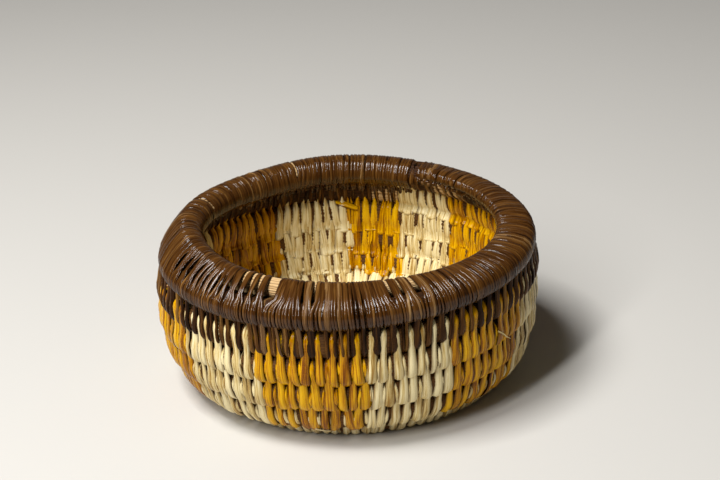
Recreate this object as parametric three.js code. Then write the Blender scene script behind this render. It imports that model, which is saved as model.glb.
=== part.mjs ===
// A coiled basket: a low round bowl with a bulging wall and a rolled rim.
// One long bundle of straws starts at the centre of the base, spirals out over the base,
// climbs turn by turn into the wall and ends as a tapered tip on the rim.
// Flat strands are sewn round the bundle, and each stretch of one colour is its own sleeve:
// cream on the base and foot, blocks of golden yellow and cream on the wall, brown at the rim.
// Millimetres, +Z up, the origin on the ground under the middle of the outer shape.
// A place on the coil is given by its turn, which counts turns back from the rim's tip,
// and an azimuth is counted from the front, -Y, towards the right, +X.

import * as THREE from 'three';

// The coil with its stitching
const coilRadius = 7.0;
const rimRadius = 8.4;
const rimLeftRadius = 7.5;
const rimFrontRadius = 5.5;
const rimRightRadius = 2.8;
const tipRadius = 2.2;
const startRadius = 3.0;
const coilGap = 0.6;
const restDepth = 0.5;

// The stitching round the bundle
const strandThickness = 1.2;
const bundleClearance = 0.35;
const seamGap = 0.3;

// How the coil runs
const baseTurns = 5 + 7 / 12;
const wallTurns = 6;
const tipAzimuth = 150;
const startDistance = 4.4;

// The angle at which each turn leans on the turn below it, from level and outward:
// 90 stands straight above, less leans out and more leans in.
const leanOnTurnBelow = [
  [0, 146], [0.25, 155], [0.42, 148], [0.55, 144], [0.67, 127], [0.8, 132], [0.92, 117], [1.05, 114], [1.25, 91],
  [1.42, 85], [1.67, 100], [2, 86], [2.5, 92], [3, 87], [4, 78], [5, 54], [5.5, 38], [6, 0],
];

// Where the colours change
const colourStartTurn = 4.975;
const colourTurns = 3;
const blockEdges = [159, 179, 206, 238, 271, 304, 333, 365, 389.5, 420, 457, 499, 519];
const brownSleevesPerTurn = 9;
const footSleeves = 3;

// The knot that fills the eye of the coil
const knotRadius = 2.3;
const knotDistance = 2.7;

// How finely the tubes are cut
const stepsPerTurn = 24;
const sleeveSides = 10;
const bundleSides = 6;

const colours = {
  bundle: new THREE.MeshStandardMaterial({ color: 0xe3be8a, roughness: 0.75, metalness: 0 }),
  cream: new THREE.MeshStandardMaterial({ color: 0xeadfba, roughness: 0.6, metalness: 0 }),
  yellow: new THREE.MeshStandardMaterial({ color: 0xdc9f08, roughness: 0.5, metalness: 0 }),
  brown: new THREE.MeshStandardMaterial({ color: 0x4b321c, roughness: 0.45, metalness: 0 }),
};

const totalTurns = baseTurns + wallTurns;
const lastStep = Math.round(totalTurns * stepsPerTurn);

// The radius of the stitched coil: thin at its start, full round the base and wall,
// thicker where the rim begins, then slimmer and slimmer to the tip.
const radiusAlongCoil = [
  [0, tipRadius], [0.17, rimRightRadius], [0.42, rimFrontRadius], [0.67, rimLeftRadius],
  [0.92, rimRadius], [1.3, coilRadius], [2, coilRadius], [totalTurns - 1, coilRadius],
  [totalTurns - 0.5, (coilRadius + startRadius) / 2], [totalTurns, startRadius],
];

const outline = traceCoil();
const basket = new THREE.Group();

function addPiece(name, geometry, material) {
  const mesh = new THREE.Mesh(geometry, material);
  mesh.name = name;
  basket.add(mesh);
}

// A curve through a table of [x, y] rows, with slopes that never overshoot.
function smoothThrough(table, x) {
  if (x <= table[0][0]) return table[0][1];
  const last = table.length - 1;
  if (x >= table[last][0]) return table[last][1];
  let i = 0;
  while (x > table[i + 1][0]) i += 1;
  const slope = (k) => (table[k + 1][1] - table[k][1]) / (table[k + 1][0] - table[k][0]);
  const tangent = (k) => {
    if (k === 0) return slope(0);
    if (k === last) return slope(last - 1);
    const before = slope(k - 1);
    const after = slope(k);
    return before * after <= 0 ? 0 : (2 * before * after) / (before + after);
  };
  const width = table[i + 1][0] - table[i][0];
  const t = (x - table[i][0]) / width;
  const risen = t * t * (3 - 2 * t);
  const leave = t * (1 - t) * (1 - t) * width * tangent(i);
  const arrive = t * t * (t - 1) * width * tangent(i + 1);
  return table[i][1] * (1 - risen) + table[i + 1][1] * risen + leave + arrive;
}

// The centre line: how far it lies from the axis and how high, at every step from the start.
// Each turn touches the turn below it, so its place follows from that turn and its lean.
function traceCoil() {
  const line = [];
  for (let step = 0; step <= lastStep; step += 1) {
    const turn = totalTurns - step / stepsPerTurn;
    const radius = smoothThrough(radiusAlongCoil, turn);
    const below = line[step - stepsPerTurn];
    if (below) {
      const lean = THREE.MathUtils.degToRad(smoothThrough(leanOnTurnBelow, turn));
      const reach = below.radius + radius + coilGap;
      line.push({ out: below.out + reach * Math.cos(lean), up: below.up + reach * Math.sin(lean), radius });
    } else {
      const firstReach = startRadius + coilRadius + coilGap;
      const out = startDistance + firstReach * (step / stepsPerTurn);
      line.push({ out, up: coilRadius - restDepth, radius });
    }
  }
  return line;
}

function azimuthOfStep(step) {
  const turn = totalTurns - step / stepsPerTurn;
  return THREE.MathUtils.degToRad(tipAzimuth - 360 * turn);
}

function pointAt(azimuth, out, up) {
  return new THREE.Vector3(out * Math.sin(azimuth), -out * Math.cos(azimuth), up);
}

// One ring of points round the centre line, flattened where it would reach below the ground.
// Between two steps the ring lies on the straight facets that join theirs.
function ringAt(step, sides, radiusOf) {
  const lower = Math.min(Math.floor(step), lastStep - 1);
  const ringOfStep = (whole) => {
    const place = outline[whole];
    const radius = radiusOf(place.radius);
    return Array.from({ length: sides }, (_, k) => {
      const angle = (2 * Math.PI * k) / sides;
      const up = Math.max(place.up + radius * Math.sin(angle), 0);
      return pointAt(azimuthOfStep(whole), place.out + radius * Math.cos(angle), up);
    });
  };
  const from = ringOfStep(lower);
  const to = ringOfStep(lower + 1);
  return from.map((point, k) => point.lerp(to[k], step - lower));
}

function stepsBetween(first, last) {
  const steps = [first];
  for (let step = Math.floor(first) + 1; step < last; step += 1) {
    if (step - first > 0.02 && last - step > 0.02) steps.push(step);
  }
  steps.push(last);
  return steps;
}

const bundleRadius = (radius) => radius - strandThickness - bundleClearance;
const boreRadius = (radius) => radius - strandThickness;

class Facets {
  constructor() {
    this.positions = [];
  }

  triangle(a, b, c) {
    this.positions.push(...a.toArray(), ...b.toArray(), ...c.toArray());
  }

  // The skin between two rings, facing away from the centre line.
  skin(from, to) {
    const sides = from.length;
    for (let k = 0; k < sides; k += 1) {
      const next = (k + 1) % sides;
      this.triangle(from[k], to[k], to[next]);
      this.triangle(from[k], to[next], from[next]);
    }
  }

  geometry() {
    const geometry = new THREE.BufferGeometry();
    geometry.setAttribute('position', new THREE.Float32BufferAttribute(this.positions, 3));
    geometry.computeVertexNormals();
    return geometry;
  }
}

// A solid tube from one step to another.
function bundleGeometry(first, last) {
  const facets = new Facets();
  const rings = stepsBetween(first, last).map((step) => ringAt(step, bundleSides, bundleRadius));
  for (let i = 1; i < rings.length; i += 1) facets.skin(rings[i - 1], rings[i]);
  const start = rings[0];
  const end = rings[rings.length - 1];
  for (let k = 2; k < bundleSides; k += 1) {
    facets.triangle(start[0], start[k - 1], start[k]);
    facets.triangle(end[0], end[k], end[k - 1]);
  }
  return facets.geometry();
}

// A hollow sleeve from one step to another, open at both ends, for the bundle to pass through.
function sleeveGeometry(first, last) {
  const facets = new Facets();
  const steps = stepsBetween(first, last);
  const outer = steps.map((step) => ringAt(step, sleeveSides, (radius) => radius));
  const bore = steps.map((step) => ringAt(step, bundleSides, boreRadius));
  for (let i = 1; i < steps.length; i += 1) {
    facets.skin(outer[i - 1], outer[i]);
    facets.skin(bore[i], bore[i - 1]);
  }
  endFace(facets, outer[0], bore[0], false);
  endFace(facets, outer[steps.length - 1], bore[steps.length - 1], true);
  return facets.geometry();
}

// The flat ring between a sleeve's outside and its bore, walked round both outlines at once.
function endFace(facets, outer, bore, facesForward) {
  const put = (a, b, c) => (facesForward ? facets.triangle(a, c, b) : facets.triangle(a, b, c));
  let i = 0;
  let j = 0;
  while (i < outer.length || j < bore.length) {
    const a = outer[i % outer.length];
    const b = bore[j % bore.length];
    const outerNext = (i + 1) / outer.length;
    const boreNext = (j + 1) / bore.length;
    if (outerNext <= boreNext) {
      put(a, outer[(i + 1) % outer.length], b);
      i += 1;
    } else {
      put(a, bore[(j + 1) % bore.length], b);
      j += 1;
    }
  }
}

function stepOfTurn(turn) {
  return (totalTurns - turn) * stepsPerTurn;
}

// A sleeve between two turns, drawn back by half a seam at each end that has a neighbour.
function addSleeve(name, fromTurn, toTurn, material) {
  const first = stepOfTurn(fromTurn);
  const last = stepOfTurn(toTurn);
  const seamSteps = (step) => {
    const away = outline[Math.round(step)].out;
    return (seamGap / 2 / away) * (stepsPerTurn / (2 * Math.PI));
  };
  const start = first <= 0 ? 0 : first + seamSteps(first);
  const end = last >= lastStep ? lastStep : last - seamSteps(last);
  addPiece(name, sleeveGeometry(start, end), material);
}

// The bundle, in one piece from the eye of the base to the tip on the rim.
addPiece('straw_bundle_coil', bundleGeometry(0, lastStep), colours.bundle);

// The cream stitching of the base, with the knot in the eye of the coil.
addSleeve('cream_base_stitching', totalTurns, wallTurns, colours.cream);
const knotAzimuth = azimuthOfStep(0) - Math.PI / 2;
const knot = new THREE.SphereGeometry(knotRadius, 12, 8);
knot.translate(...pointAt(knotAzimuth, knotDistance, coilRadius - restDepth).toArray());
addPiece('cream_centre_knot', knot, colours.cream);

// The cream stitching of the foot, the lowest turn of the wall.
for (let k = 0; k < footSleeves; k += 1) {
  const span = (wallTurns - colourStartTurn) / footSleeves;
  const fromTurn = wallTurns - k * span;
  addSleeve(`cream_foot_stitching_${k + 1}`, fromTurn, fromTurn - span, colours.cream);
}

// The blocks of the wall, which stand in columns because every turn changes colour at the same places.
for (let row = 0; row < colourTurns; row += 1) {
  for (let k = 0; k + 1 < blockEdges.length; k += 1) {
    const colour = k % 2 === 0 ? 'yellow' : 'cream';
    const turnOfEdge = (edge) => colourStartTurn - row - (edge - blockEdges[0]) / 360;
    const name = `${colour}_block_${Math.floor(k / 2) + 1}_row_${row + 1}`;
    addSleeve(name, turnOfEdge(blockEdges[k]), turnOfEdge(blockEdges[k + 1]), colours[colour]);
  }
}

// The brown wraps: the neck, and the rim, which lies along the neck's inner side.
const brownStartTurn = colourStartTurn - colourTurns;
const brownSleeves = 2 * brownSleevesPerTurn;
for (let k = 0; k < brownSleeves; k += 1) {
  const place = k < brownSleevesPerTurn ? 'neck' : 'rim';
  const fromTurn = brownStartTurn * (1 - k / brownSleeves);
  const toTurn = brownStartTurn * (1 - (k + 1) / brownSleeves);
  const number = (k % brownSleevesPerTurn) + 1;
  addSleeve(`brown_${place}_wrap_${number}`, fromTurn, toTurn, colours.brown);
}

// The coil's axis stands a little off the middle of the outer shape, where the origin lies.
const middle = new THREE.Box3().setFromObject(basket).getCenter(new THREE.Vector3());
basket.position.set(-middle.x, -middle.y, 0);

// The least gap between turns, measured on the points of the centre line.
function leastGap(radiusOf) {
  let least = Infinity;
  const points = outline.map((place, step) => pointAt(azimuthOfStep(step), place.out, place.up));
  for (let i = 0; i < points.length; i += 1) {
    for (let j = i + stepsPerTurn / 2; j < points.length; j += 1) {
      const radii = radiusOf(outline[i].radius) + radiusOf(outline[j].radius);
      least = Math.min(least, points[i].distanceTo(points[j]) - radii);
    }
  }
  return least;
}

console.log(`least gap of the bundle to itself: ${leastGap(bundleRadius).toFixed(2)} mm`);
console.log(`least gap between the stitched turns: ${leastGap((radius) => radius).toFixed(2)} mm`);

export default basket;
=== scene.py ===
"""A coiled basket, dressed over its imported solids.

One long bundle of straws winds from the eye of the base up the wall to the rim. Flat palm strands
are sewn round it: each strand goes over its own turn and the turn below, and its blunt end tucks
into the next crevice. Cream on the base, blocks of golden yellow and cream on the wall, and close
brown straps round the neck and rim. Lengths below are millimetres until they reach a mesh.
"""

import math
from functools import partial

import bpy
import numpy as np
from mathutils import Matrix, Vector


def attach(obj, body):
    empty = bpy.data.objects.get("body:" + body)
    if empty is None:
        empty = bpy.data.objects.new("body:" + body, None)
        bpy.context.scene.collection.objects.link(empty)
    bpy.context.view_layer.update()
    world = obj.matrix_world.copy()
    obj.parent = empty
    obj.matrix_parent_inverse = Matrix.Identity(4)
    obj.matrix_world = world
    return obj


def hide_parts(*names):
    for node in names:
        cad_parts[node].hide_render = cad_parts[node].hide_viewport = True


MM = 0.001
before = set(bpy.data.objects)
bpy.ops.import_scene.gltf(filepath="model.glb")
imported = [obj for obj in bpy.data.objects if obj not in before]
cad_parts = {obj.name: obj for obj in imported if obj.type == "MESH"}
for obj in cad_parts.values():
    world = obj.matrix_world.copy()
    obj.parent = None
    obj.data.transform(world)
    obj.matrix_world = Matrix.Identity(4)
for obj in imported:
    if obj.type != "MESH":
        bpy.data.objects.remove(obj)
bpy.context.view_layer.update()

# The coil, as the solids have it. Turns count from the tip on the rim down to the eye of the base.
# The first table gives, by turn, the angle at which a turn lies on the one below: at 0 it lies
# beside it, further out, and at 90 straight above it.
COIL_RADIUS = 7.0
RIM_RADIUS = 8.4
RIM_LEFT_RADIUS = 7.5
RIM_FRONT_RADIUS = 5.5
RIM_RIGHT_RADIUS = 2.8
TIP_RADIUS = 2.2
START_RADIUS = 3.0
COIL_GAP = 0.6
REST_DEPTH = 0.5
BASE_TURNS = 5 + 7 / 12
WALL_TURNS = 6
TOTAL_TURNS = BASE_TURNS + WALL_TURNS
TIP_AZIMUTH = 150
TIP_SINKS_OVER = 0.13
TIP_SINK_CURVE = 1.5
START_DISTANCE = 4.4
COIL_AXIS = (-0.187, -0.373)
LEAN_ON_TURN_BELOW = [
    (0, 146), (0.25, 155), (0.42, 148), (0.55, 144), (0.67, 127), (0.8, 132), (0.92, 117),
    (1.05, 114), (1.25, 91), (1.42, 85), (1.67, 100), (2, 86), (2.5, 92), (3, 87), (4, 78),
    (5, 54), (5.5, 38), (6, 0),
]
RADIUS_ALONG_COIL = [
    (0, TIP_RADIUS), (0.17, RIM_RIGHT_RADIUS), (0.42, RIM_FRONT_RADIUS), (0.67, RIM_LEFT_RADIUS),
    (0.92, RIM_RADIUS), (1.3, COIL_RADIUS), (2, COIL_RADIUS), (TOTAL_TURNS - 1, COIL_RADIUS),
    (TOTAL_TURNS - 0.5, (COIL_RADIUS + START_RADIUS) / 2), (TOTAL_TURNS, START_RADIUS),
]
PATH_STEPS = 144

# Where the colours change, as azimuths from the front towards the right
COLOUR_START_TURN = 4.975
COLOUR_TURNS = 3
BLOCK_EDGES = [159, 179, 206, 238, 271, 304, 333, 365, 389.5, 420, 457, 499, 519]
BROWN_SLEEVES = 18
FOOT_SLEEVES = 3

# How many stitches there are. The shift is in stitches, for each millimetre of lean.
STITCHES_PER_TURN = 109.5
SHIFT_FOR_LEAN = 0.165
WALL_MIDDLE_TURN = 3.5
SETTLING_ROUNDS = 3
CLOSER_AT_BACK = 0.09
BASE_STITCH_SPACING = 4.9
STRAPS_PER_TURN = 385

# How they lie on their own turn, over the turn below and in the crevice between, and how far above
# the ground their middles and their lowest points stay
BUNDLE_DEPTH = 1.0
STRAND_THICKNESS = 0.55
OWN_LIFT = 0.3
OVER_LIFT = 1.0
CREVICE_SAG = 0.7
GROUND_CLEARANCE = 1.1
LOWEST_POINT = 0.1

# How far single stitches differ. Each draws a number, which its tone and its creases come from.
OWN_LIFT_SPREAD = (-0.08, 0.12)
OVER_LIFT_SPREAD = (-0.15, 0.2)
SAG_SPREAD = (0.6, 1.3)
PUFF_SPREAD = (0.4, 1.3)
INSIDE_LIFT_SPREAD = (-0.15, 0.3)
INSIDE_REACH_SPREAD = (-12, 16)
INSIDE_WIDTH_SPREAD = (0.9, 1.15)
UNTWISTED_AT = 0.4
NEAREST_TO_AXIS = 6
STITCH_NUMBERS = (1, 900)

# A split stitch is two narrow strands: how far each stands aside, in turns, and its share of the
# usual width. Every stitch is kept a little off both ends of the coil.
SPLIT_ASIDE = (0.0014, 0.0018)
SPLIT_FULLNESS = (0.62, 0.55)
KEPT_FROM_TIP = 0.002
KEPT_FROM_EYE = 0.01

# The straws of the bundle, which is round at the rim and has squared shoulders lower down
STRAWS_ROUND_COIL = 26
RIB_DEPTH = 0.38
SQUARENESS = 0.78
SQUARED_BETWEEN_TURNS = (1.7, 2.3)
EDGE_INSET = 0.3
RIM_EDGE_INSET = 1.0


# Making nodes and materials

STREAK_SHARE = 1.3


def linear(hex_colour):
    """An sRGB hex colour as linear red, green, blue and alpha."""
    channels = [int(hex_colour[i:i + 2], 16) / 255 for i in (1, 3, 5)]
    return [c / 12.92 if c <= 0.04045 else ((c + 0.055) / 1.055) ** 2.4 for c in channels] + [1.0]


def add_node(tree, kind, sockets=None, **settings):
    """Adds a node, with its settings, and a value or a link for each socket named."""
    node = tree.nodes.new(kind)
    for name, value in settings.items():
        setattr(node, name, value)
    for name, value in (sockets or {}).items():
        if isinstance(value, bpy.types.NodeSocket):
            tree.links.new(value, node.inputs[name])
        else:
            node.inputs[name].default_value = value
    return node


def new_material(name):
    material = bpy.data.materials.new(name)
    material.use_nodes = True
    tree = material.node_tree
    tree.nodes.clear()
    shader = add_node(tree, "ShaderNodeBsdfPrincipled")
    add_node(tree, "ShaderNodeOutputMaterial", {"Surface": shader.outputs["BSDF"]})
    return material, tree, shader


def pick(node, name):
    """The output of that name that is in use: a mix node has one for each kind of value."""
    return next(s for s in node.outputs if s.name == name and s.enabled)


def arithmetic(tree, operation, *values):
    node = add_node(tree, "ShaderNodeMath", dict(enumerate(values)), operation=operation)
    return node.outputs[0]


def colour_scale(tree, value, tones):
    """The colour for a value, from tones that each have a position on the scale."""
    scale = add_node(tree, "ShaderNodeValToRGB", {"Fac": value})
    stops = scale.color_ramp.elements
    while len(stops) < len(tones):
        stops.new(0.5)
    for stop, (position, colour) in zip(stops, tones):
        stop.position = position
        stop.color = linear(colour)
    return scale.outputs["Color"]


def noise(tree, vector, scale=1.0, detail=1.0, roughness=0.5):
    return add_node(tree, "ShaderNodeTexNoise", {
        "Vector": vector, "Scale": scale, "Detail": detail, "Roughness": roughness})


def drawn_out(tree, vector, stretch, **settings):
    """Noise that is stretched along a strand or a straw."""
    stretched = add_node(tree, "ShaderNodeMapping", {"Vector": vector, "Scale": stretch})
    return noise(tree, stretched.outputs["Vector"], **settings)


def palm_strand(name, tones, tuck_shade, roughness, gloss, tone_share, fibre_share, relief=0.3):
    """Split palm leaf, dyed or plain: fine fibres along it, a tone of its own for each stitch."""
    material, tree, shader = new_material(name)
    weave = add_node(tree, "ShaderNodeAttribute", attribute_name="weave").outputs["Vector"]
    parts = add_node(tree, "ShaderNodeSeparateXYZ", {"Vector": weave})
    stitch = parts.outputs["Z"]

    # Fibres are about 0.2 mm wide in the leaf, drawn at about 0.6 mm so that they show.
    fibres = drawn_out(tree, weave, (1.5, 0.06, 7.0), detail=4.0, roughness=0.7)
    streaks = drawn_out(tree, weave, (0.75, 0.05, 3.0), detail=2.0)
    tone = add_node(tree, "ShaderNodeTexWhiteNoise", {"W": stitch}, noise_dimensions="1D")

    # The tone of a stitch, its broad streaks and its fibres share one scale of colours.
    shade = arithmetic(tree, "MULTIPLY_ADD", tone.outputs["Value"], tone_share, 0.5 - tone_share / 2)
    for pattern, share in ((streaks, STREAK_SHARE), (fibres, fibre_share)):
        middled = arithmetic(tree, "SUBTRACT", pattern.outputs["Fac"], 0.5)
        shade = arithmetic(tree, "MULTIPLY_ADD", middled, share, shade)
    scale = colour_scale(tree, shade, tones)

    # Painted shade: a strand is darkened along its curled edges and where it tucks into a crevice,
    # where shade falls on it.
    tuck_shaded = add_node(tree, "ShaderNodeAttribute", attribute_name="tuck_shade")
    edge = add_node(tree, "ShaderNodeAttribute", attribute_name="edge")
    curled_edge_shade = add_node(tree, "ShaderNodeMapRange", {
        "Value": edge.outputs["Fac"], "From Min": 0.55, "From Max": 1.0,
        "To Min": 0.0, "To Max": 0.85})
    darkened = arithmetic(tree, "MAXIMUM", tuck_shaded.outputs["Fac"], curled_edge_shade.outputs["Result"])
    colour = add_node(tree, "ShaderNodeMix", {
        "Factor": darkened, "A": scale, "B": linear(tuck_shade)}, data_type="RGBA")
    rough = add_node(tree, "ShaderNodeMapRange", {
        "Value": streaks.outputs["Fac"], "From Min": 0.3, "From Max": 0.7,
        "To Min": roughness - 0.08, "To Max": roughness + 0.1})
    bump = add_node(tree, "ShaderNodeBump", {
        "Height": fibres.outputs["Fac"], "Strength": 1.0, "Distance": relief * MM})
    shader.inputs["Specular IOR Level"].default_value = gloss
    tree.links.new(pick(colour, "Result"), shader.inputs["Base Color"])
    tree.links.new(rough.outputs["Result"], shader.inputs["Roughness"])
    tree.links.new(bump.outputs["Normal"], shader.inputs["Normal"])
    return material


def dry_straw(name, dull, bright, groove_shade):
    """Dry grass straw, split by hand: matt, with painted shade in the grooves between the straws."""
    material, tree, shader = new_material(name)
    straw = add_node(tree, "ShaderNodeAttribute", attribute_name="straw").outputs["Vector"]
    parts = add_node(tree, "ShaderNodeSeparateXYZ", {"Vector": straw})
    streaks = drawn_out(tree, straw, (1.0, 0.06, 3.0), scale=2.0, detail=3.0, roughness=0.6)
    scale = colour_scale(tree, streaks.outputs["Fac"], [(0.3, dull), (0.68, bright)])
    # Painted shade: the grooves between the straws are darkened.
    groove_shading = add_node(tree, "ShaderNodeMapRange", {
        "Value": parts.outputs["Z"], "From Min": 0.0, "From Max": 0.55, "To Min": 1.0, "To Max": 0.0})
    colour = add_node(tree, "ShaderNodeMix", {
        "Factor": groove_shading.outputs["Result"], "A": scale, "B": linear(groove_shade)}, data_type="RGBA")
    bump = add_node(tree, "ShaderNodeBump", {
        "Height": streaks.outputs["Fac"], "Strength": 0.4, "Distance": 0.15 * MM})
    shader.inputs["Roughness"].default_value = 0.62
    shader.inputs["Specular IOR Level"].default_value = 0.12
    tree.links.new(pick(colour, "Result"), shader.inputs["Base Color"])
    tree.links.new(bump.outputs["Normal"], shader.inputs["Normal"])
    return material


# Each strand's last colour is painted shade, laid where it tucks into a crevice and along its curled
# edges.
MATERIALS = {
    "cream": palm_strand(
        "plain_palm_strand_cream", [(0.05, "#96702E"), (0.34, "#CCB272"), (0.75, "#EADAAA")],
        tuck_shade="#523210", roughness=0.34, gloss=0.2, tone_share=0.5, fibre_share=2.4, relief=0.25),
    "yellow": palm_strand(
        "dyed_palm_strand_golden",
        [(0.0, "#6A3600"), (0.3, "#A26600"), (0.64, "#D29A00"), (1.0, "#DEAC10")],
        tuck_shade="#341200", roughness=0.18, gloss=0.17, tone_share=0.55, fibre_share=2.4, relief=0.15),
    "brown": palm_strand(
        "dyed_palm_strand_brown",
        [(0.05, "#1A0C03"), (0.36, "#3A2008"), (0.66, "#543412"), (0.95, "#805C2A")],
        tuck_shade="#100704", roughness=0.24, gloss=0.08, tone_share=0.75, fibre_share=1.6),
    "rim": palm_strand(
        "dyed_palm_strap_brown",
        [(0.05, "#1E0F04"), (0.4, "#40240A"), (0.72, "#583814"), (1.0, "#7A562A")],
        tuck_shade="#100704", roughness=0.13, gloss=0.28, tone_share=0.3, fibre_share=1.1, relief=0.1),
    "faded": palm_strand(
        "faded_palm_strand_brown", [(0.1, "#4A2E14"), (0.5, "#6E4E28"), (0.9, "#96764A")],
        tuck_shade="#2A1808", roughness=0.26, gloss=0.2, tone_share=0.4, fibre_share=1.4),
    # The straws are bright where the rim is bare. Behind the wall's stitches and under the brown straps
    # they are painted dark, as painted shade.
    "straw": dry_straw("dry_straw_bundle", "#A87C46", "#D2B688", "#4A280C"),
    "straw_shade_in_wall": dry_straw("dry_straw_painted_shade_in_wall", "#2E1808", "#6A4620", "#140802"),
    "straw_shade_under_brown": dry_straw("dry_straw_painted_shade_under_brown", "#1A0C04", "#44260C", "#080301"),
}
SLOTS = {
    "cream": "cream_strand", "yellow": "golden_strand",
    **dict.fromkeys(("brown", "rim", "faded"), "brown_strand"),
    **dict.fromkeys(("straw", "straw_shade_in_wall", "straw_shade_under_brown"), "straw_bundle"),
}


# The coil's path

COVERED_OVER = 0.15


def smooth_through(table, x):
    """A curve through a table of points, with slopes that never overshoot."""
    last = len(table) - 1
    if x <= table[0][0]:
        return table[0][1]
    if x >= table[last][0]:
        return table[last][1]
    i = max(k for k in range(last) if table[k][0] < x)

    def slope(k):
        return (table[k + 1][1] - table[k][1]) / (table[k + 1][0] - table[k][0])

    def tangent(k):
        if k in (0, last):
            return slope(min(k, last - 1))
        before, after = slope(k - 1), slope(k)
        return 0 if before * after <= 0 else 2 * before * after / (before + after)

    width = table[i + 1][0] - table[i][0]
    t = (x - table[i][0]) / width
    risen = t * t * (3 - 2 * t)
    return (table[i][1] * (1 - risen) + table[i + 1][1] * risen
            + t * (1 - t) ** 2 * width * tangent(i) + t * t * (t - 1) * width * tangent(i + 1))


def trace_coil():
    """Turn, distance from the axis, height and radius, from the tip on the rim to the eye."""
    rows = []
    for step in range(round(TOTAL_TURNS * PATH_STEPS) + 1):
        turn = TOTAL_TURNS - step / PATH_STEPS
        radius = smooth_through(RADIUS_ALONG_COIL, turn)
        if step >= PATH_STEPS:
            out, up, below = rows[step - PATH_STEPS][1:]
            lean = math.radians(smooth_through(LEAN_ON_TURN_BELOW, turn))
            reach = below + radius + COIL_GAP
            rows.append((turn, out + reach * math.cos(lean), up + reach * math.sin(lean), radius))
        else:
            out = START_DISTANCE + (START_RADIUS + COIL_RADIUS + COIL_GAP) * step / PATH_STEPS
            rows.append((turn, out, COIL_RADIUS - REST_DEPTH, radius))
    return np.array(rows[::-1])


COIL = trace_coil()


def coil_at(turn):
    """Places (out, up) of the coil's centre line, and its radius."""
    def on_path(turn):
        out, up, radius = (np.interp(turn, COIL[:, 0], COIL[:, k]) for k in (1, 2, 3))
        return np.stack([out, up], -1), radius

    turn = np.clip(turn, 0, TOTAL_TURNS)
    place, radius = on_path(turn)
    below, _ = on_path(np.minimum(turn + 1, TOTAL_TURNS))
    sunk = np.clip(1 - turn / TIP_SINKS_OVER, 0, 1) ** TIP_SINK_CURVE * 2 * radius
    towards = below - place
    towards /= np.maximum(np.linalg.norm(towards, axis=-1, keepdims=True), 1)
    return place + towards * sunk[..., None], radius


def azimuth_of(turn):
    return TIP_AZIMUTH - 360 * turn


def wall_frame(turn):
    """At each turn: the centre, the ways down the wall and out of it, the radius, and half the way
    to the turns above and below."""
    here, radius = coil_at(turn)
    below, _ = coil_at(turn + 1)
    above, _ = coil_at(turn - 1)
    is_last = (turn + 1 > TOTAL_TURNS)[:, None]
    covered = np.clip((turn - 1) / COVERED_OVER, 0, 1)[:, None]
    lower = np.where(is_last, here, below)
    upper = here + (above - here) * covered
    down = lower - upper
    down /= np.linalg.norm(down, axis=1)[:, None]
    outward = np.stack([-down[:, 1], down[:, 0]], -1)
    free = radius - EDGE_INSET
    half_below = np.where(is_last[:, 0], free, np.linalg.norm(below - here, axis=1) / 2)
    half_above = free + (np.linalg.norm(above - here, axis=1) / 2 - free) * covered[:, 0]
    return here, down, outward, radius, half_above, half_below


def in_space(azimuth, place):
    """Points at that azimuth in degrees, from places (out, up) in the plane of the axis."""
    angle = np.radians(azimuth)
    return np.stack([place[..., 0] * np.sin(angle) + COIL_AXIS[0],
                     -place[..., 0] * np.cos(angle) + COIL_AXIS[1],
                     place[..., 1]], -1) * MM


# The strands: a guide line for each stitch, swept by Geometry Nodes

# Where the guide line has its points outside, as shares of the way over its own turn, across the
# crevice and over the turn below
UPPER_PARTS = [0.0, 0.18, 0.36, 0.53, 0.69, 0.85, 1.0]
BRIDGE_PARTS = [0.25, 0.5, 0.75]
LOWER_PARTS = [0.0, 0.16, 0.32, 0.48, 0.63, 0.77, 0.9, 1.0]
END_ANGLE = math.radians(88)
STEEPEST_LEAVE = 0.9
PUFF_CURVE = 1.6

# Inside the wall a stitch comes out of the turn above, crosses its own turn and goes into the
# next one. Each row: which turn it lies on, the angle down from the way in, and its lift.
INSIDE_TOP = [(-1, 12, -1.8), (-1, 20, 0.0), (-1, 32, 0.6), (-1, 44, 1.2)]
CROWN = [(0, -88, 1.3), (0, -80, 1.3), (0, -70, 1.3), (0, -58, 1.3)]
INSIDE_REST = [
    (0, -44, 1.2), (0, -32, 0.6), (0, -20, 0.35), (0, -10, 0.3), (0, 0, 0.3), (0, 10, 0.3),
    (0, 20, 0.35), (0, 32, 0.6), (0, 44, 1.2), (1, -44, 1.3), (1, -37, 1.1), (1, -30, 0.9),
    (1, -25, 0.2), (1, -20, -1.6),
]
RIM_RISE = 1.3

# Where the fat end of the neck lies over the wall, the stitches come out lower on it: the share of
# the way to that angle, by turn
LOWER_START = ([1.97, 2.0, 2.2, 2.35], [0, 0.75, 0.75, 0])
LOWER_START_ANGLE = 56


def on_coil(centre, outward, down, reach, half, angle, turn):
    """The place on a coil's face at that angle from the way out towards the way down."""
    squareness = np.interp(turn, SQUARED_BETWEEN_TURNS, [1.0, SQUARENESS])
    c, s = np.cos(angle), np.sin(angle)
    squared_c = np.sign(c) * np.abs(c) ** squareness
    squared_s = np.sign(s) * np.abs(s) ** squareness
    return centre + outward * (reach * squared_c)[:, None] + down * (half * squared_s)[:, None]


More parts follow.
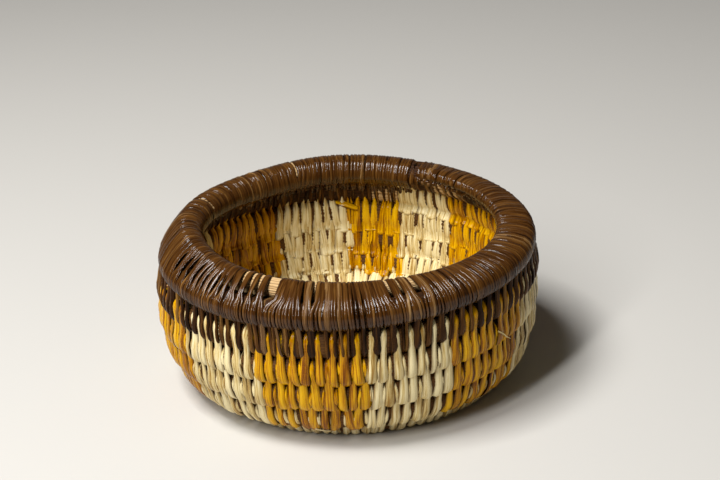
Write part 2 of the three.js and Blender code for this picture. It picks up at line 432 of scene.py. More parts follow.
def outer_side(turn, own_lift, over_lift, sag, puff):
    """The places of each stitch outside, from the top of its turn to the crevice below the next,
    drawn taut over both and puffed out before its blunt end."""
    here, down, outward, radius, half_above, _ = wall_frame(turn)
    below_turn = np.where(turn + 1 > TOTAL_TURNS, turn, turn + 1)
    lower, down_b, outward_b, radius_b, _, half_below = wall_frame(below_turn)
    reach = radius - BUNDLE_DEPTH + own_lift
    reach_b = radius_b - BUNDLE_DEPTH + over_lift

    # The strand leaves its own turn and meets the next where one line touches both.
    apart = np.maximum(np.linalg.norm(lower - here, axis=1), 1.0)
    leave = np.arcsin(np.clip((reach - reach_b) / apart, -STEEPEST_LEAVE, STEEPEST_LEAVE))
    way = outward * np.cos(leave)[:, None] + down * np.sin(leave)[:, None]
    meet = np.arctan2(np.sum(way * down_b, 1), np.sum(way * outward_b, 1))
    points = [on_coil(here, outward, down, reach, half_above,
                      -END_ANGLE + (leave + END_ANGLE) * part, turn) for part in UPPER_PARTS]
    landing = on_coil(lower, outward_b, down_b, reach_b, half_below, meet, below_turn)
    for part in BRIDGE_PARTS:
        dip = 4 * part * (1 - part) * sag[:, None]
        points.append(points[len(UPPER_PARTS) - 1] * (1 - part) + landing * part - way * dip)
    for part in LOWER_PARTS:
        puffed = reach_b + puff * math.sin(math.pi * part ** PUFF_CURVE)
        points.append(on_coil(lower, outward_b, down_b, puffed, half_below,
                              meet + (END_ANGLE - meet) * part, below_turn))
    return np.stack(points, 1)


def inner_side(turn, lift, reach_on):
    """The places of each stitch inside the wall. On the last turn it starts on the rim's crown.
    reach_on says how many degrees further each one goes on the turn below."""
    frames = {}
    for step in (-1, 0, 1):
        there = np.clip(turn + step, 0, TOTAL_TURNS)
        frames[step] = (there, *wall_frame(there))
    has_turn_above = (turn >= 1)[:, None]
    lower_start = np.interp(turn, *LOWER_START)

    def place(step, degrees, rise):
        there, here, down, outward, radius, half_above, half_below = frames[step]
        half = half_above if degrees < 0 else half_below
        if step == 0 and degrees < 0:
            rise = np.where(turn < 1, RIM_RISE, rise)
        further = {-1: lower_start * (LOWER_START_ANGLE - degrees), 0: 0, 1: reach_on}[step]
        angle = np.radians(degrees + further)
        reach = radius - BUNDLE_DEPTH + rise + lift
        return on_coil(here, -outward, down, reach, half, angle, there)

    points = [np.where(has_turn_above, place(*top), place(*crown))
              for top, crown in zip(INSIDE_TOP, CROWN)]
    return np.stack(points + [place(*row) for row in INSIDE_REST], 1)


# Where the rim's straps have parted on its crown and the straws show: azimuth and width
BARE_PATCHES = [
    (-24.2, 7.2), (-34.2, 3.8), (-31.2, 3.8), (-28.2, 3.9), (-10.3, 3.4), (-13.4, 2.6),
    (13.5, 3.1), (16.8, 2.6), (21.5, 3.4), (-110, 3.8), (-160, 3.0),
]

# Where dark slits open between the straps, over the crevice in the rim at its left
DARK_SLITS = [
    (-65.5, 3.4), (-61, 3.0), (-58, 3.2), (-53.6, 3.4), (-50.9, 3.0), (-48.6, 3.2),
    (-46.2, 3.4), (-43.6, 3.2), (-41.2, 3.4), (-38.8, 3.0),
]

# How much of the way aside the straps go, by the share of their length: on the crown outside and
# inside, and over the crevice. The push fades over the opening's width and a little more, and the
# rim stands that far from the axis.
CROWN_OUTSIDE = ([0.5, 0.62], [1, 0])
CROWN_INSIDE = ([0.16, 0.32], [1, 0])
CREVICE_OUTSIDE = ([0.28, 0.38, 0.56, 0.68], [0, 1, 1, 0])
PUSH_REACH = 1.2
RIM_REACH = 83


def half_circle(degrees):
    """The same angle between -180 and 180 degrees."""
    return (degrees + 180) % 360 - 180


def pushed_aside(turn, openings):
    """How far the straps of the rim stand aside from the openings, each an azimuth and a width."""
    push = np.zeros(len(turn))
    for azimuth, width in openings:
        off = np.radians(half_circle(azimuth_of(turn) - azimuth)) * RIM_REACH
        push += np.where(off < 0, -width, width) / 2 * np.exp(-np.abs(off) / (PUSH_REACH + width))
    return push


def usual_lean(turn, look):
    """How many millimetres stitches at these turns lean sideways, by their azimuth."""
    return np.interp(half_circle(azimuth_of(turn)), *look["slant"])


def there_and_back(outer, inner):
    """One closed round: down the outside and up the inside again."""
    return np.concatenate([outer, inner[:, ::-1]], 1)


def stitch_guides(turn, fullness, rng, look):
    """Closed guide lines for the stitches at those turns, with what the sweep needs to know."""
    count = len(turn)
    own_lift = look["own_lift"] + rng.uniform(*OWN_LIFT_SPREAD, count)
    over_lift = look["over_lift"] + rng.uniform(*OVER_LIFT_SPREAD, count)
    sag = look["sag"] * rng.uniform(*SAG_SPREAD, count)
    puff = look["puff"] * rng.uniform(*PUFF_SPREAD, count)
    inside_lift = rng.uniform(*INSIDE_LIFT_SPREAD, count)
    inside_reach = look["inside_reach"] + rng.uniform(*INSIDE_REACH_SPREAD, count)
    outer = outer_side(turn, own_lift, over_lift, sag, puff)
    inner = inner_side(turn, inside_lift, inside_reach)
    place = there_and_back(outer, inner)
    place[..., 1] = np.maximum(place[..., 1], GROUND_CLEARANCE)

    def share_of(side):
        run = np.linalg.norm(np.diff(side, axis=1), axis=2).cumsum(1)
        return np.concatenate([np.zeros((count, 1)), run / run[:, -1:]], 1)

    outer_share, inner_share = share_of(outer), share_of(inner)
    share = there_and_back(outer_share, inner_share)

    # Outside, the strands slant, each in its own way. Inside they stand straighter.
    width = np.interp(outer_share, look["width_at"], look["half_width"])
    width *= rng.uniform(*look["width_range"], (count, 1))
    inside_width = np.interp(inner_share, look["inside_width_at"], look["inside_half_width"])
    inside_width *= rng.uniform(*INSIDE_WIDTH_SPREAD, (count, 1))
    half_width = there_and_back(width, inside_width) * fullness[:, None]
    lean = usual_lean(turn, look)[:, None] + rng.normal(0, look["slant_spread"], (count, 1))
    bow = rng.normal(0, look["bow"], (count, 1))
    inside_lean = rng.normal(0, look["inside_spread"], (count, 1))
    outer_drift = lean * (outer_share - 0.5) * 2 + bow * np.sin(np.pi * outer_share)
    drift = there_and_back(outer_drift, -lean + (lean + inside_lean) * inner_share)
    if look["has_openings"]:
        crown = there_and_back(np.interp(outer_share, *CROWN_OUTSIDE),
                               np.interp(inner_share, *CROWN_INSIDE))
        crevice = there_and_back(np.interp(outer_share, *CREVICE_OUTSIDE), 0 * inner_share)
        drift += pushed_aside(turn, BARE_PATCHES)[:, None] * crown
        drift += pushed_aside(turn, DARK_SLITS)[:, None] * crevice

    distance = np.maximum(place[..., 0], NEAREST_TO_AXIS)
    azimuth = azimuth_of(turn)[:, None] + np.degrees(drift / distance)
    centre = in_space(azimuth, place)
    tangent = np.roll(centre, -1, 1) - np.roll(centre, 1, 1)
    tangent /= np.linalg.norm(tangent, axis=2)[..., None]
    angle = np.radians(azimuth)
    side = np.stack([np.cos(angle), np.sin(angle), np.zeros_like(angle)], -1)
    side -= tangent * np.sum(side * tangent, 2)[..., None]
    side /= np.linalg.norm(side, axis=2)[..., None]
    twist = rng.normal(0, look["twist"], (count, 1)) * (share - UNTWISTED_AT)
    roll = np.radians(rng.normal(0, look["roll"], (count, 1)) + twist)[..., None]
    lift = np.cross(tangent, side)
    side, lift = side * np.cos(roll) + lift * np.sin(roll), lift * np.cos(roll) - side * np.sin(roll)

    walked = np.linalg.norm(np.roll(centre, -1, 1) - centre, axis=2).cumsum(1) / MM
    stitch = rng.uniform(*STITCH_NUMBERS, (count, 1)) * np.ones_like(share)
    # Painted shade where the strand dives into a crevice, by its share of the round.
    tuck_shade = np.interp(share, *look["tuck_shade"])
    return {"centre": centre, "side": side, "lift": lift, "half_width": half_width * MM,
            "along": walked, "stitch": stitch, "tuck_shade": tuck_shade}


def length_along(points):
    """How far along an open line each of its points lies, in millimetres."""
    steps = np.linalg.norm(np.diff(points, axis=0), axis=1)
    return np.concatenate([[0], steps.cumsum()]) / MM


def guide_object(guides, closed=True):
    """The guide lines as loose edges, with their sizes stored on the points."""
    count, points = guides["centre"].shape[:2]
    mesh = bpy.data.meshes.new("guide")
    index = np.arange(count * points).reshape(count, points)
    edges = np.stack([index, np.roll(index, -1, 1)], -1)
    if not closed:
        edges = edges[:, :-1]
    mesh.from_pydata(guides["centre"].reshape(-1, 3).tolist(), edges.reshape(-1, 2).tolist(), [])
    for name, values in guides.items():
        kind, field = ("FLOAT_VECTOR", "vector") if values.ndim == 3 else ("FLOAT", "value")
        attribute = mesh.attributes.new(name, kind, "POINT")
        attribute.data.foreach_set(field, values.astype(np.float32).ravel())
    guide = bpy.data.objects.new("guide", mesh)
    bpy.context.collection.objects.link(guide)
    return guide


def open_guide(guides):
    """One guide line with two ends."""
    return guide_object({name: values[None] for name, values in guides.items()}, closed=False)


def named(tree, name, kind="FLOAT"):
    node = add_node(tree, "GeometryNodeInputNamedAttribute", {"Name": name}, data_type=kind)
    return pick(node, "Attribute")


def open_tree(name, numbers):
    """A geometry tree with a mesh and a material going in, and the numbers named."""
    tree = bpy.data.node_groups.new(name, "GeometryNodeTree")
    tree.interface.new_socket(name="Geometry", in_out="OUTPUT", socket_type="NodeSocketGeometry")
    tree.interface.new_socket(name="Geometry", in_out="INPUT", socket_type="NodeSocketGeometry")
    for label, kind, value in numbers:
        socket = tree.interface.new_socket(name=label, in_out="INPUT", socket_type=kind)
        socket.default_value = value
    tree.interface.new_socket(name="Material", in_out="INPUT", socket_type="NodeSocketMaterial")
    return tree, add_node(tree, "NodeGroupInput").outputs


def close_tree(tree, geometry, given):
    """Smooth shading, real geometry and the material, as every tree here ends."""
    smooth = add_node(tree, "GeometryNodeSetShadeSmooth", {"Geometry": geometry, "Shade Smooth": True})
    real = add_node(tree, "GeometryNodeRealizeInstances", {"Geometry": smooth.outputs["Geometry"]})
    painted = add_node(tree, "GeometryNodeSetMaterial",
                       {"Geometry": real.outputs["Geometry"], "Material": given["Material"]})
    add_node(tree, "NodeGroupOutput", {"Geometry": painted.outputs["Geometry"]})


def joined(tree, x, y, z):
    return add_node(tree, "ShaderNodeCombineXYZ", {"X": x, "Y": y, "Z": z}).outputs["Vector"]


def store(tree, geometry, name, value, kind):
    sockets = {"Geometry": geometry, "Name": name, "Value": value}
    node = add_node(tree, "GeometryNodeStoreNamedAttribute", sockets, data_type=kind, domain="POINT")
    return node.outputs["Geometry"]


def swept_section(tree, given):
    """The guide lines with a round section swept along them, and the section's x and y."""
    lines = add_node(tree, "GeometryNodeMeshToCurve", {"Mesh": given["Geometry"]})
    circle = add_node(tree, "GeometryNodeCurvePrimitiveCircle",
                      {"Resolution": given["Corners"], "Radius": 1.0})
    place = add_node(tree, "GeometryNodeInputPosition")
    profile = store(tree, circle.outputs["Curve"], "section", place.outputs["Position"],
                    "FLOAT_VECTOR")
    swept = add_node(tree, "GeometryNodeCurveToMesh",
                     {"Curve": lines.outputs["Curve"], "Profile Curve": profile, "Fill Caps": True})
    section = named(tree, "section", "FLOAT_VECTOR")
    parts = add_node(tree, "ShaderNodeSeparateXYZ", {"Vector": section})
    return swept.outputs["Mesh"], parts.outputs["X"], parts.outputs["Y"]


def placed(tree, x_way, x, y_way, y):
    """Set each point beside its guide point, x along one way and y along the other. Nothing goes
    through the ground that the basket stands on."""
    def vectors(operation, sockets):
        return add_node(tree, "ShaderNodeVectorMath", sockets, operation=operation).outputs[0]

    across = vectors("SCALE", {0: named(tree, x_way, "FLOAT_VECTOR"), "Scale": x})
    above = vectors("SCALE", {0: named(tree, y_way, "FLOAT_VECTOR"), "Scale": y})
    offset = vectors("ADD", {0: across, 1: above})
    free = vectors("ADD", {0: named(tree, "centre", "FLOAT_VECTOR"), 1: offset})
    far_off = -1.0
    return vectors("MAXIMUM", {0: free, 1: (far_off, far_off, LOWEST_POINT * MM)})


# How much a strand's edge wavers, how many creases cross it, how quickly both change along it,
# and how much thinner it is at its edges
EDGE_WAVER = 0.28
WAVERS_PER_MM = 0.16
CREASES_ACROSS = 1.8
CREASES_PER_MM = 0.035
EDGE_THINNING = 0.45
STRAND_SEED = 3.0

# How much the straws wander round the bundle, and how quickly across and along it
STRAW_WANDER = 0.5
WANDERS_ACROSS = 1.4
WANDERS_PER_MM = 0.02
STRAW_SEED = 5.0

# The bundle's steps to a turn and corners round it, in rim and neck, where straws show, and elsewhere
BARE_DETAIL = (120, 130)
COVERED_DETAIL = (60, 78)
FEWEST_STEPS = 8


def strand_tree():
    """Sweeps a flat, slightly domed and creased palm strand along each guide line."""
    tree, given = open_tree("palm_strand_sweep", [
        ("Corners", "NodeSocketInt", 14), ("Dome", "NodeSocketFloat", 1.1 * MM),
        ("Crease depth", "NodeSocketFloat", 0.4 * MM)])
    maths = partial(arithmetic, tree)
    mesh, x, y = swept_section(tree, given)
    along = named(tree, "along")
    shifted = maths("ADD", named(tree, "stitch"), STRAND_SEED)

    edge_place = joined(tree, maths("SIGN", x), maths("MULTIPLY", along, WAVERS_PER_MM), shifted)
    edge = noise(tree, edge_place)
    waver = maths("MULTIPLY_ADD", edge.outputs["Fac"], 2.0, -1.0)
    widen = maths("MULTIPLY_ADD", waver, EDGE_WAVER, 1.0)
    width = maths("MULTIPLY", named(tree, "half_width"), widen)
    across = maths("MULTIPLY", width, x)

    crease_place = joined(tree, maths("MULTIPLY", x, CREASES_ACROSS),
                          maths("MULTIPLY", along, CREASES_PER_MM), shifted)
    crease = noise(tree, crease_place)
    depth = maths("MULTIPLY_ADD", crease.outputs["Fac"], 2.0, -1.0)
    depth = maths("MULTIPLY", depth, given["Crease depth"])
    square = maths("MULTIPLY", x, x)
    thin = maths("MULTIPLY_ADD", square, -EDGE_THINNING, 1.0)
    height = maths("MULTIPLY", maths("MULTIPLY", y, thin), STRAND_THICKNESS / 2 * MM)
    height = maths("ADD", height, depth)
    height = maths("SUBTRACT", height, maths("MULTIPLY", square, given["Dome"]))

    moved = add_node(tree, "GeometryNodeSetPosition",
                     {"Geometry": mesh, "Position": placed(tree, "side", across, "lift", height)})
    weave = joined(tree, maths("MULTIPLY", across, 1 / MM), along, shifted)
    woven = store(tree, moved.outputs["Geometry"], "weave", weave, "FLOAT_VECTOR")
    edged = store(tree, woven, "edge", maths("ABSOLUTE", x), "FLOAT")
    close_tree(tree, edged, given)
    return tree


def bundle_tree():
    """Sweeps the bundle: squared shoulders, and one rib for each straw."""
    tree, given = open_tree("straw_bundle_sweep", [("Corners", "NodeSocketInt", BARE_DETAIL[1])])
    maths = partial(arithmetic, tree)
    mesh, x, y = swept_section(tree, given)
    along = named(tree, "along")
    angle = maths("ARCTAN2", y, x)
    bend_place = joined(
        tree, maths("MULTIPLY", x, WANDERS_ACROSS), maths("MULTIPLY", y, WANDERS_ACROSS),
        maths("MULTIPLY_ADD", along, WANDERS_PER_MM, STRAW_SEED))
    bend = noise(tree, bend_place, detail=2.0)
    turned = maths("MULTIPLY_ADD", bend.outputs["Fac"], STRAW_WANDER, angle)
    phase = maths("MULTIPLY", turned, STRAWS_ROUND_COIL / 2)
    rib = maths("ABSOLUTE", maths("SINE", phase))
    swell = maths("MULTIPLY", rib, RIB_DEPTH * MM)

    def shoulder(part):
        size = maths("POWER", maths("ABSOLUTE", part), SQUARENESS)
        return maths("MULTIPLY", size, maths("SIGN", part))

    out_reach = maths("ADD", named(tree, "reach_out"), swell)
    down_reach = maths("ADD", named(tree, "reach_down"), swell)
    moved = add_node(tree, "GeometryNodeSetPosition", {
        "Geometry": mesh,
        "Position": placed(tree, "outward", maths("MULTIPLY", shoulder(x), out_reach),
                           "downward", maths("MULTIPLY", shoulder(y), down_reach))})
    straw = joined(tree, phase, along, rib)
    grown = store(tree, moved.outputs["Geometry"], "straw", straw, "FLOAT_VECTOR")
    close_tree(tree, grown, given)
    return tree


# What the looks and the mesh itself need. The other attributes only served the sweep.
KEPT_ATTRIBUTES = {"position", "weave", "edge", "straw", "tuck_shade", "sharp_face", "material_index",
                   ".edge_verts", ".corner_vert", ".corner_edge"}


def finished(name, guide, tree, material, **inputs):
    """The tree's result as a plain mesh in a piece of its own, facing outwards."""
    modifier = guide.modifiers.new("sweep", "NODES")
    modifier.node_group = tree
    sockets = {s.name: s.identifier for s in tree.interface.items_tree if s.in_out == "INPUT"}
    modifier[sockets["Material"]] = MATERIALS[material]
    for label, value in inputs.items():
        modifier[sockets[label.replace("_", " ")]] = value
    evaluated = guide.evaluated_get(bpy.context.evaluated_depsgraph_get())
    mesh = bpy.data.meshes.new_from_object(evaluated)
    source = guide.data
    bpy.data.objects.remove(guide)
    bpy.data.meshes.remove(source)
    face_outwards(mesh)
    for attribute in [a.name for a in mesh.attributes if a.name not in KEPT_ATTRIBUTES]:
        mesh.attributes.remove(mesh.attributes[attribute])
    mesh.name = name
    piece = bpy.data.objects.new(name, mesh)
    bpy.context.collection.objects.link(piece)
    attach(piece, "root")
    return piece


def face_outwards(mesh):
    """Turns every face round if the closed mesh came out inside out."""
    points = np.empty(len(mesh.vertices) * 3, np.float32)
    mesh.vertices.foreach_get("co", points)
    points = points.reshape(-1, 3).astype(float)
    mesh.calc_loop_triangles()
    corners = np.empty(len(mesh.loop_triangles) * 3, np.int32)
    mesh.loop_triangles.foreach_get("vertices", corners)
    a, b, c = (points[corners.reshape(-1, 3)[:, k]] for k in range(3))
    if np.einsum("ij,ij->i", a, np.cross(b, c)).sum() < 0:
        mesh.flip_normals()


STRAND_TREE = strand_tree()
BUNDLE_TREE = bundle_tree()


# The bundle of straws

def bundle_piece(name, material, first_turn, last_turn, steps_per_turn, corners):
    steps = max(FEWEST_STEPS, round((last_turn - first_turn) * steps_per_turn))
    turn = np.linspace(first_turn, last_turn, steps)
    here, down, outward, radius, half_above, half_below = wall_frame(turn)
    azimuth = azimuth_of(turn)
    angle = np.radians(azimuth)
    radial = np.stack([np.sin(angle), -np.cos(angle)], -1)

    def way(plane):
        return np.concatenate([radial * plane[:, :1], plane[:, 1:]], 1)

    centre = in_space(azimuth, here)
    inset = np.where(turn < 1, RIM_EDGE_INSET, EDGE_INSET)
    guides = {"centre": centre, "outward": way(outward), "downward": way(down),
              "reach_out": (radius - BUNDLE_DEPTH - RIB_DEPTH) * MM,
              "reach_down": (np.minimum(half_above, half_below) - inset) * MM,
              "along": length_along(centre)}
    return finished(name, open_guide(guides), BUNDLE_TREE, material, Corners=corners)


# The turns where the bundle changes, and what its straws are like from there on
# Under the brown straps and behind the wall's stitches the straws are painted dark, as painted shade.
BUNDLE_PARTS = [
    (0.006, "straw_shade_under_brown"), (0.34, "straw"), (0.56, "straw_shade_under_brown"), (0.712, "straw"),
    (0.732, "straw_shade_under_brown"), (0.85, "straw"), (0.868, "straw_shade_under_brown"), (1.02, "straw"),
    (1.055, "straw_shade_under_brown"), (1.945, "straw"), (1.972, "straw_shade_in_wall"),
]
part_ends = [first for first, _ in BUNDLE_PARTS[1:]] + [TOTAL_TURNS]
for k, ((first, material), last) in enumerate(zip(BUNDLE_PARTS, part_ends)):
    detail = BARE_DETAIL if last < 2 else COVERED_DETAIL
    piece = bundle_piece(f"straw_bundle_{k + 1}", material, first, last, *detail)
    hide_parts("straw_bundle_coil")


# The stitching

# How far a stitch of the wall leans at each azimuth: down to the right at the basket's left, and
# down to the left at its right
WALL_SLANT = ([-180, -60, -28, 22, 90, 180], [0, 1.4, 1.1, -1.1, -1.4, 0])

# A look gives half the width of a stitch at shares of its length, outside and inside, its painted
# shade where it tucks in, at shares of its whole round, and how much single stitches differ.
WALL_LOOK = {
    "own_lift": OWN_LIFT, "over_lift": OVER_LIFT, "sag": CREVICE_SAG, "puff": 0.45,
    "width_at": [0, 0.06, 0.16, 0.3, 0.5, 0.7, 0.86, 0.95, 1],
    "half_width": [0.5, 0.85, 1.2, 1.7, 2.2, 2.8, 3.3, 3.4, 2.8],
    "inside_reach": 0, "inside_width_at": [0, 0.12, 0.3, 0.55, 0.8, 0.93, 1],
    "inside_half_width": [0.4, 1.2, 2.3, 3.1, 3.8, 3.8, 2.8],
    "width_range": (0.78, 1.22), "slant": WALL_SLANT, "slant_spread": 0.8, "inside_spread": 0.9,
    "bow": 0.45, "roll": 8, "twist": 20, "split_share": 0.1, "jitter": 0.0005, "has_openings": False,
    "tuck_shade": [[0, 0.05, 0.13, 0.9, 0.96, 1], [1, 0.6, 0, 0, 0.55, 1]],
}
TOP_ROW_LOOK = dict(WALL_LOOK, half_width=[1.4, 2.0, 2.3, 2.2, 2.2, 2.8, 3.2, 3.3, 2.6],
                    tuck_shade=[[0, 0.04, 0.1, 0.88, 0.95, 1], [1, 0.5, 0, 0, 0.55, 1]])
NECK_LOOK = dict(WALL_LOOK, width_range=(0.62, 1.25), sag=-0.25, over_lift=1.05, puff=0.2,
                 half_width=[1.9, 2.2, 2.2, 2.0, 1.6, 1.8, 2.1, 2.1, 1.6], inside_reach=-32,
                 inside_half_width=[0.6, 1.3, 1.8, 1.9, 1.5, 1.2, 0.8], split_share=0.2)
RIM_LOOK = {
    "own_lift": 1.3, "over_lift": 1.4, "sag": -0.6, "puff": 0.0,
    "width_at": [0, 0.3, 0.5, 0.8, 0.95, 1], "half_width": [1.2, 1.2, 1.05, 0.95, 0.85, 0.6],
    "inside_reach": 0, "inside_width_at": [0, 0.75, 0.9, 1], "inside_half_width": [1.2, 1.2, 1.0, 0.7],
    "width_range": (0.7, 1.3), "slant": ([0], [1.0]), "slant_spread": 0.4, "inside_spread": 0.15,
    "bow": 0.2, "roll": 7, "twist": 8, "split_share": 0.0, "jitter": 0.0002, "has_openings": True,
    "tuck_shade": [[0, 0.82, 0.93, 1], [0, 0, 0.3, 1]],
}
BASE_LOOK = dict(WALL_LOOK, half_width=[0.9, 1.2, 1.6, 1.9, 2.1, 2.4, 2.6, 2.5, 2.0],
                 slant=([0], [0.4]), puff=0.1)


NECK_NODES = [f"brown_neck_wrap_{k + 1}" for k in range(BROWN_SLEEVES // 2)]
RIM_NODES = [f"brown_rim_wrap_{k + 1}" for k in range(BROWN_SLEEVES // 2)]
STRAP_SHAPE = {"Corners": 8, "Dome": 0.45 * MM, "Crease_depth": 0.12 * MM}


def sleeve_edges():
    """For each sleeve of the solids: its node, colour, the turns it runs between and its look."""
    span = (WALL_TURNS - COLOUR_START_TURN) / FOOT_SLEEVES
    for k in range(FOOT_SLEEVES):
        start = WALL_TURNS - k * span
        yield f"cream_foot_stitching_{k + 1}", "cream", start, start - span, WALL_LOOK
    for row in range(COLOUR_TURNS):
        for k in range(len(BLOCK_EDGES) - 1):
            colour = "cream" if k % 2 else "yellow"
            start, end = (COLOUR_START_TURN - row - (edge - BLOCK_EDGES[0]) / 360
                          for edge in BLOCK_EDGES[k:k + 2])
            look = TOP_ROW_LOOK if row == COLOUR_TURNS - 1 else WALL_LOOK
            yield f"{colour}_block_{k // 2 + 1}_row_{row + 1}", colour, start, end, look
    brown_start = COLOUR_START_TURN - COLOUR_TURNS
    for k, node in enumerate(NECK_NODES + RIM_NODES):
        start, end = (brown_start * (1 - j / BROWN_SLEEVES) for j in (k, k + 1))
        if node in NECK_NODES:
            yield node, "brown", start, end, NECK_LOOK
        else:
            yield node, "rim", start, end, RIM_LOOK


def stitch_turns(start, end, per_turn, closer_at_back, shift_for_lean, look):
    """The turns of the stitches between two turns, from one spacing for the whole coil. The stitches
    stand closer at the basket's back than at its front, and where they lean, each row is shifted
    against the next, so that each stitch still comes out between two of the row above."""
    number = np.arange(math.ceil((TOTAL_TURNS + 1) * per_turn))
    even = number / per_turn
    for _ in range(SETTLING_ROUNDS):
        shift = shift_for_lean * usual_lean(even, look) * (even - WALL_MIDDLE_TURN)
        even = (number - shift) / per_turn
    turn = even - closer_at_back / (2 * math.pi) * np.sin(np.radians(azimuth_of(even)))
    return turn[(turn >= end) & (turn < start)]


def sewn(name, nodes, colour, turn, look, seed, **inputs):
    """A piece with a stitch at each turn given. Some of them are split into two narrow strands."""
    rng = np.random.default_rng(seed)
    split = rng.random(len(turn)) < look["split_share"]
    turn = np.concatenate([turn - SPLIT_ASIDE[0] * split, turn[split] + SPLIT_ASIDE[1]])
    fullness = np.concatenate([np.where(split, SPLIT_FULLNESS[0], 1.0),
                               np.full(split.sum(), SPLIT_FULLNESS[1])])
    turn += rng.normal(0, look["jitter"], len(turn))
    turn = np.clip(turn, KEPT_FROM_TIP, TOTAL_TURNS - KEPT_FROM_EYE)
    guides = stitch_guides(turn, fullness, rng, look)
    piece = finished(name, guide_object(guides), STRAND_TREE, colour, **inputs)
    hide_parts(*nodes)


# Every piece of stitching has a seed of its own, so each run sews the same stitches.
FIRST_SLEEVE_SEED = 100
for number, (node, colour, start, end, look) in enumerate(sleeve_edges()):
    if node in RIM_NODES:
        spacing, shape = (STRAPS_PER_TURN, 0, 0), STRAP_SHAPE
    else:
        spacing, shape = (STITCHES_PER_TURN, CLOSER_AT_BACK, SHIFT_FOR_LEAN), {}
    turn = stitch_turns(start, end, *spacing, look)
    sewn(f"{node}_strands", [node], colour, turn, look, FIRST_SLEEVE_SEED + number, **shape)

# The base's stitches stand evenly along the coil, from the foot to the eye.
base_length = np.concatenate([[0], np.cumsum(2 * math.pi * COIL[1:, 1] / PATH_STEPS)])
base_length -= np.interp(WALL_TURNS, COIL[:, 0], base_length)
marks = np.arange(BASE_STITCH_SPACING / 2, base_length[-1], BASE_STITCH_SPACING)
base_turns = np.interp(marks, base_length, COIL[:, 0])
sewn("cream_base_strands", ["cream_base_stitching"], "cream", base_turns, BASE_LOOK, seed=90, Corners=8)


# Paler straps here and there on the rim, and two that bind its tip, each at its turn
PALE_STRAPS = np.array([0.008, 0.017, 0.222, 0.227, 0.35, 0.3625, 0.3694, 0.4233,
                        0.4322, 0.4335, 0.4486, 0.679, 0.797, 0.812, 0.825, 0.936])
PALE_LOOK = dict(RIM_LOOK, own_lift=1.5, over_lift=1.6, half_width=[1.4, 1.4, 1.3, 1.2, 1.0, 0.7],
                 inside_half_width=[1.4, 1.4, 1.3, 0.9])
sewn("pale_rim_straps", RIM_NODES, "faded", PALE_STRAPS, PALE_LOOK, seed=80, **STRAP_SHAPE)

# Under the widest bare patches, the neck's own straps come out and run down over the wall's top
NECK_STRAPS = np.array([1.455, 1.466, 1.473, 1.479, 1.4845, 1.492])
NECK_STRAP_LOOK = dict(RIM_LOOK, own_lift=0.9, over_lift=1.3, sag=-0.1, slant_spread=1.2,
                       half_width=[1.2, 1.2, 1.2, 1.4, 1.4, 0.8], has_openings=False)
sewn("neck_straps", NECK_NODES, "faded", NECK_STRAPS[::2], NECK_STRAP_LOOK, seed=81,
     **STRAP_SHAPE)
sewn("dark_neck_straps", NECK_NODES, "brown", NECK_STRAPS[1::2], NECK_STRAP_LOOK, seed=82,
     **STRAP_SHAPE)


# A golden strand that has slipped out inside, and two torn fibres outside: each one's node, colour,
# first and last turn, first and last angle on the coil's face, lift on the way, half width on the
# way, and side
LOOSE_ENDS = {
    "loose_golden_strand": (
        "yellow_block_1_row_3", "yellow", (2.93, 2.905), (-30, -82), (0.9, 2.0, 2.8),
        (1.3, 2.1, 1.4), -1),
    "torn_fibre_right": (
        "yellow_block_5_row_2", "cream", (3.285, 3.275), (-20, 15), (0.6, 1.4, 3.4),
        (0.6, 0.5, 0.15), 1),
    "torn_fibre_foot": (
        "cream_foot_stitching_2", "cream", (5.45, 5.437), (10, 38), (0.5, 1.0, 1.3),
        (0.9, 0.7, 0.3), 1),
}
LOOSE_POINTS = 12
LOOSE_DOME = 0.3
LOOSE_STITCH_NUMBER = 40.0


def loose_end(name, node, colour, turns, angles, lifts, half_widths, side_out):
    """One strand lying loose on a coil's face. side_out is 1 outside the wall and -1 inside it."""
    share = np.linspace(0, 1, LOOSE_POINTS)
    turn = np.interp(share, [0, 1], turns)
    here, down, outward, radius, half_above, half_below = wall_frame(turn)
    angle = np.radians(np.interp(share, [0, 1], angles))
    reach = radius + np.interp(share, [0, 0.5, 1], lifts)
    half = np.where(angle < 0, half_above, half_below)
    place = on_coil(here, outward * side_out, down, reach, half, angle, turn)
    place[:, 1] = np.maximum(place[:, 1], GROUND_CLEARANCE)
    centre = in_space(azimuth_of(turn), place)
    normal = centre - in_space(azimuth_of(turn), here)
    normal /= np.linalg.norm(normal, axis=1)[:, None]
    tangent = np.gradient(centre, axis=0)
    tangent /= np.linalg.norm(tangent, axis=1)[:, None]
    guides = {"centre": centre, "side": np.cross(normal, tangent), "lift": normal,
              "half_width": np.interp(share, [0, 0.5, 1], half_widths) * MM,
              "along": length_along(centre), "tuck_shade": np.zeros(LOOSE_POINTS),
              "stitch": np.full(LOOSE_POINTS, LOOSE_STITCH_NUMBER + len(name))}
    piece = finished(name, open_guide(guides), STRAND_TREE, colour, Dome=LOOSE_DOME * MM)
    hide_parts(node)


for name, rows in LOOSE_ENDS.items():
    loose_end(name, *rows)


# The knot in the eye of the coil: a few loops wound over one another

KNOT_SEED = 7
KNOT_LOOPS = 9
KNOT_POINTS = 20
KNOT_RADIUS = 4.7
KNOT_HALF_HEIGHT = 3.4
KNOT_SPREAD = (0.9, 1.0)
KNOT_HALF_WIDTH = 1.1
EYE_DISTANCE = 1.5
EYE_PAST_END = 114.0


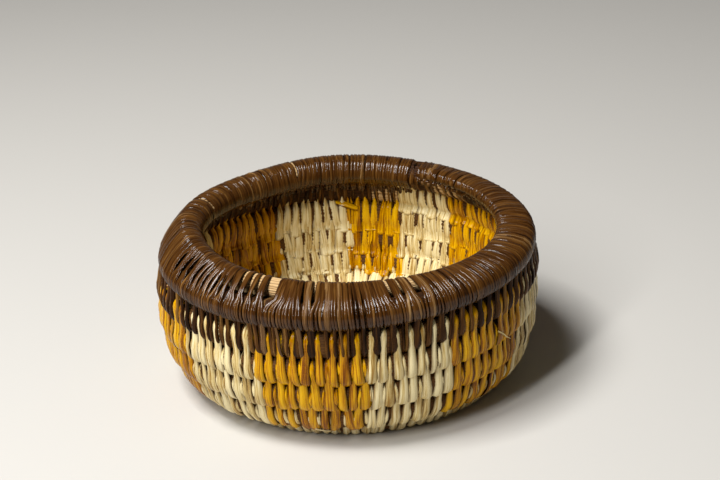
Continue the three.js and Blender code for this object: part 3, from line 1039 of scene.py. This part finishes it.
def knot_piece():
    rng = np.random.default_rng(KNOT_SEED)
    eye = in_space(np.array(azimuth_of(TOTAL_TURNS) - EYE_PAST_END),
                   np.array([EYE_DISTANCE, COIL_RADIUS - REST_DEPTH]))
    around, tilt = np.meshgrid(np.linspace(0, 2 * math.pi, KNOT_POINTS, endpoint=False),
                               np.linspace(0, math.pi, KNOT_LOOPS, endpoint=False))
    lift = np.stack([np.cos(around) * np.cos(tilt), np.cos(around) * np.sin(tilt),
                     np.sin(around)], -1)
    size = np.array([KNOT_RADIUS, KNOT_RADIUS, KNOT_HALF_HEIGHT]) * MM
    centre = lift * size * rng.uniform(*KNOT_SPREAD, (KNOT_LOOPS, 1, 1)) + eye
    side = np.stack([-np.sin(tilt), np.cos(tilt), np.zeros_like(tilt)], -1)
    stitch = rng.uniform(*STITCH_NUMBERS, (KNOT_LOOPS, 1)) * np.ones_like(around)
    guides = {"centre": centre, "side": side, "lift": lift, "along": around * KNOT_RADIUS,
              "half_width": np.full(around.shape, KNOT_HALF_WIDTH * MM), "stitch": stitch,
              "tuck_shade": np.zeros_like(around)}
    piece = finished("cream_eye_knot", guide_object(guides), STRAND_TREE, "cream", Corners=10)
    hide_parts("cream_centre_knot")


knot_piece()


# The stage, the light and the camera

BASKET_MIDDLE = (0, 0, 0.05)


def plain_material(name, hex_colour, roughness):
    material, _, shader = new_material(name)
    shader.inputs["Base Color"].default_value = linear(hex_colour)
    shader.inputs["Roughness"].default_value = roughness
    return material


def build_stage():
    """A pale floor that curves up behind into a backdrop."""
    half_width, depth, rise, bend = 3.0, 2.4, 2.2, 0.9
    first_angle, bend_steps = 0.1, 14
    profile = [(-depth, 0.0), (depth - bend, 0.0)]
    profile += [(depth - bend + bend * math.sin(a), bend - bend * math.cos(a))
                for a in np.linspace(first_angle, math.pi / 2, bend_steps)]
    profile.append((depth, rise))
    points = [(x, y, z) for x in (-half_width, half_width) for y, z in profile]
    n = len(profile)
    faces = [(i, n + i, n + i + 1, i + 1) for i in range(n - 1)]
    mesh = bpy.data.meshes.new("pale_floor")
    mesh.from_pydata(points, [], faces)
    mesh.shade_smooth()
    mesh.materials.append(plain_material("pale_paper_floor", "#C4C1BB", 0.9))
    floor = bpy.data.objects.new("pale_floor", mesh)
    bpy.context.collection.objects.link(floor)


def soft_light(name, place, size, power):
    """A white lamp of that size in metres, turned towards the basket's middle."""
    lamp = bpy.data.lights.new(name, "AREA")
    lamp.shape = "RECTANGLE"
    lamp.size, lamp.size_y = size
    lamp.energy = power
    holder = bpy.data.objects.new(name, lamp)
    holder.location = place
    way = Vector(BASKET_MIDDLE) - Vector(place)
    holder.rotation_euler = way.to_track_quat("-Z", "Y").to_euler()
    bpy.context.collection.objects.link(holder)


def build_camera():
    """The photograph's view: from the front, looking down, a little tilted."""
    pitch, tilt, distance = math.radians(23.6), math.radians(2.8), 0.9
    target = Vector((7.51 * MM, -0.29 * MM, 71.65 * MM))
    away = Vector((0, -math.cos(pitch), math.sin(pitch)))
    camera = bpy.data.cameras.new("photo_camera")
    camera.sensor_width = 36
    camera.lens = 85.1
    holder = bpy.data.objects.new("photo_camera", camera)
    turn = (-away).to_track_quat("-Z", "Y").to_matrix().to_4x4() @ Matrix.Rotation(-tilt, 4, "Z")
    holder.matrix_world = Matrix.Translation(target + away * distance) @ turn
    bpy.context.collection.objects.link(holder)
    bpy.context.scene.camera = holder


def build_world():
    """A little warm light from all sides."""
    world = bpy.data.worlds.new("studio")
    world.use_nodes = True
    tree = world.node_tree
    tree.nodes.clear()
    background = add_node(tree, "ShaderNodeBackground",
                          {"Color": linear("#FFF7EC"), "Strength": 0.05})
    add_node(tree, "ShaderNodeOutputWorld", {"Surface": background.outputs["Background"]})
    bpy.context.scene.world = world


build_stage()
build_world()
build_camera()
soft_light("key_softbox", place=(-0.5, -0.3, 1.38), size=(0.5, 0.5), power=26)
soft_light("front_softbox", place=(-0.58, -0.95, 1.05), size=(0.11, 0.8), power=13)
bpy.context.scene.view_settings.view_transform = "Standard"
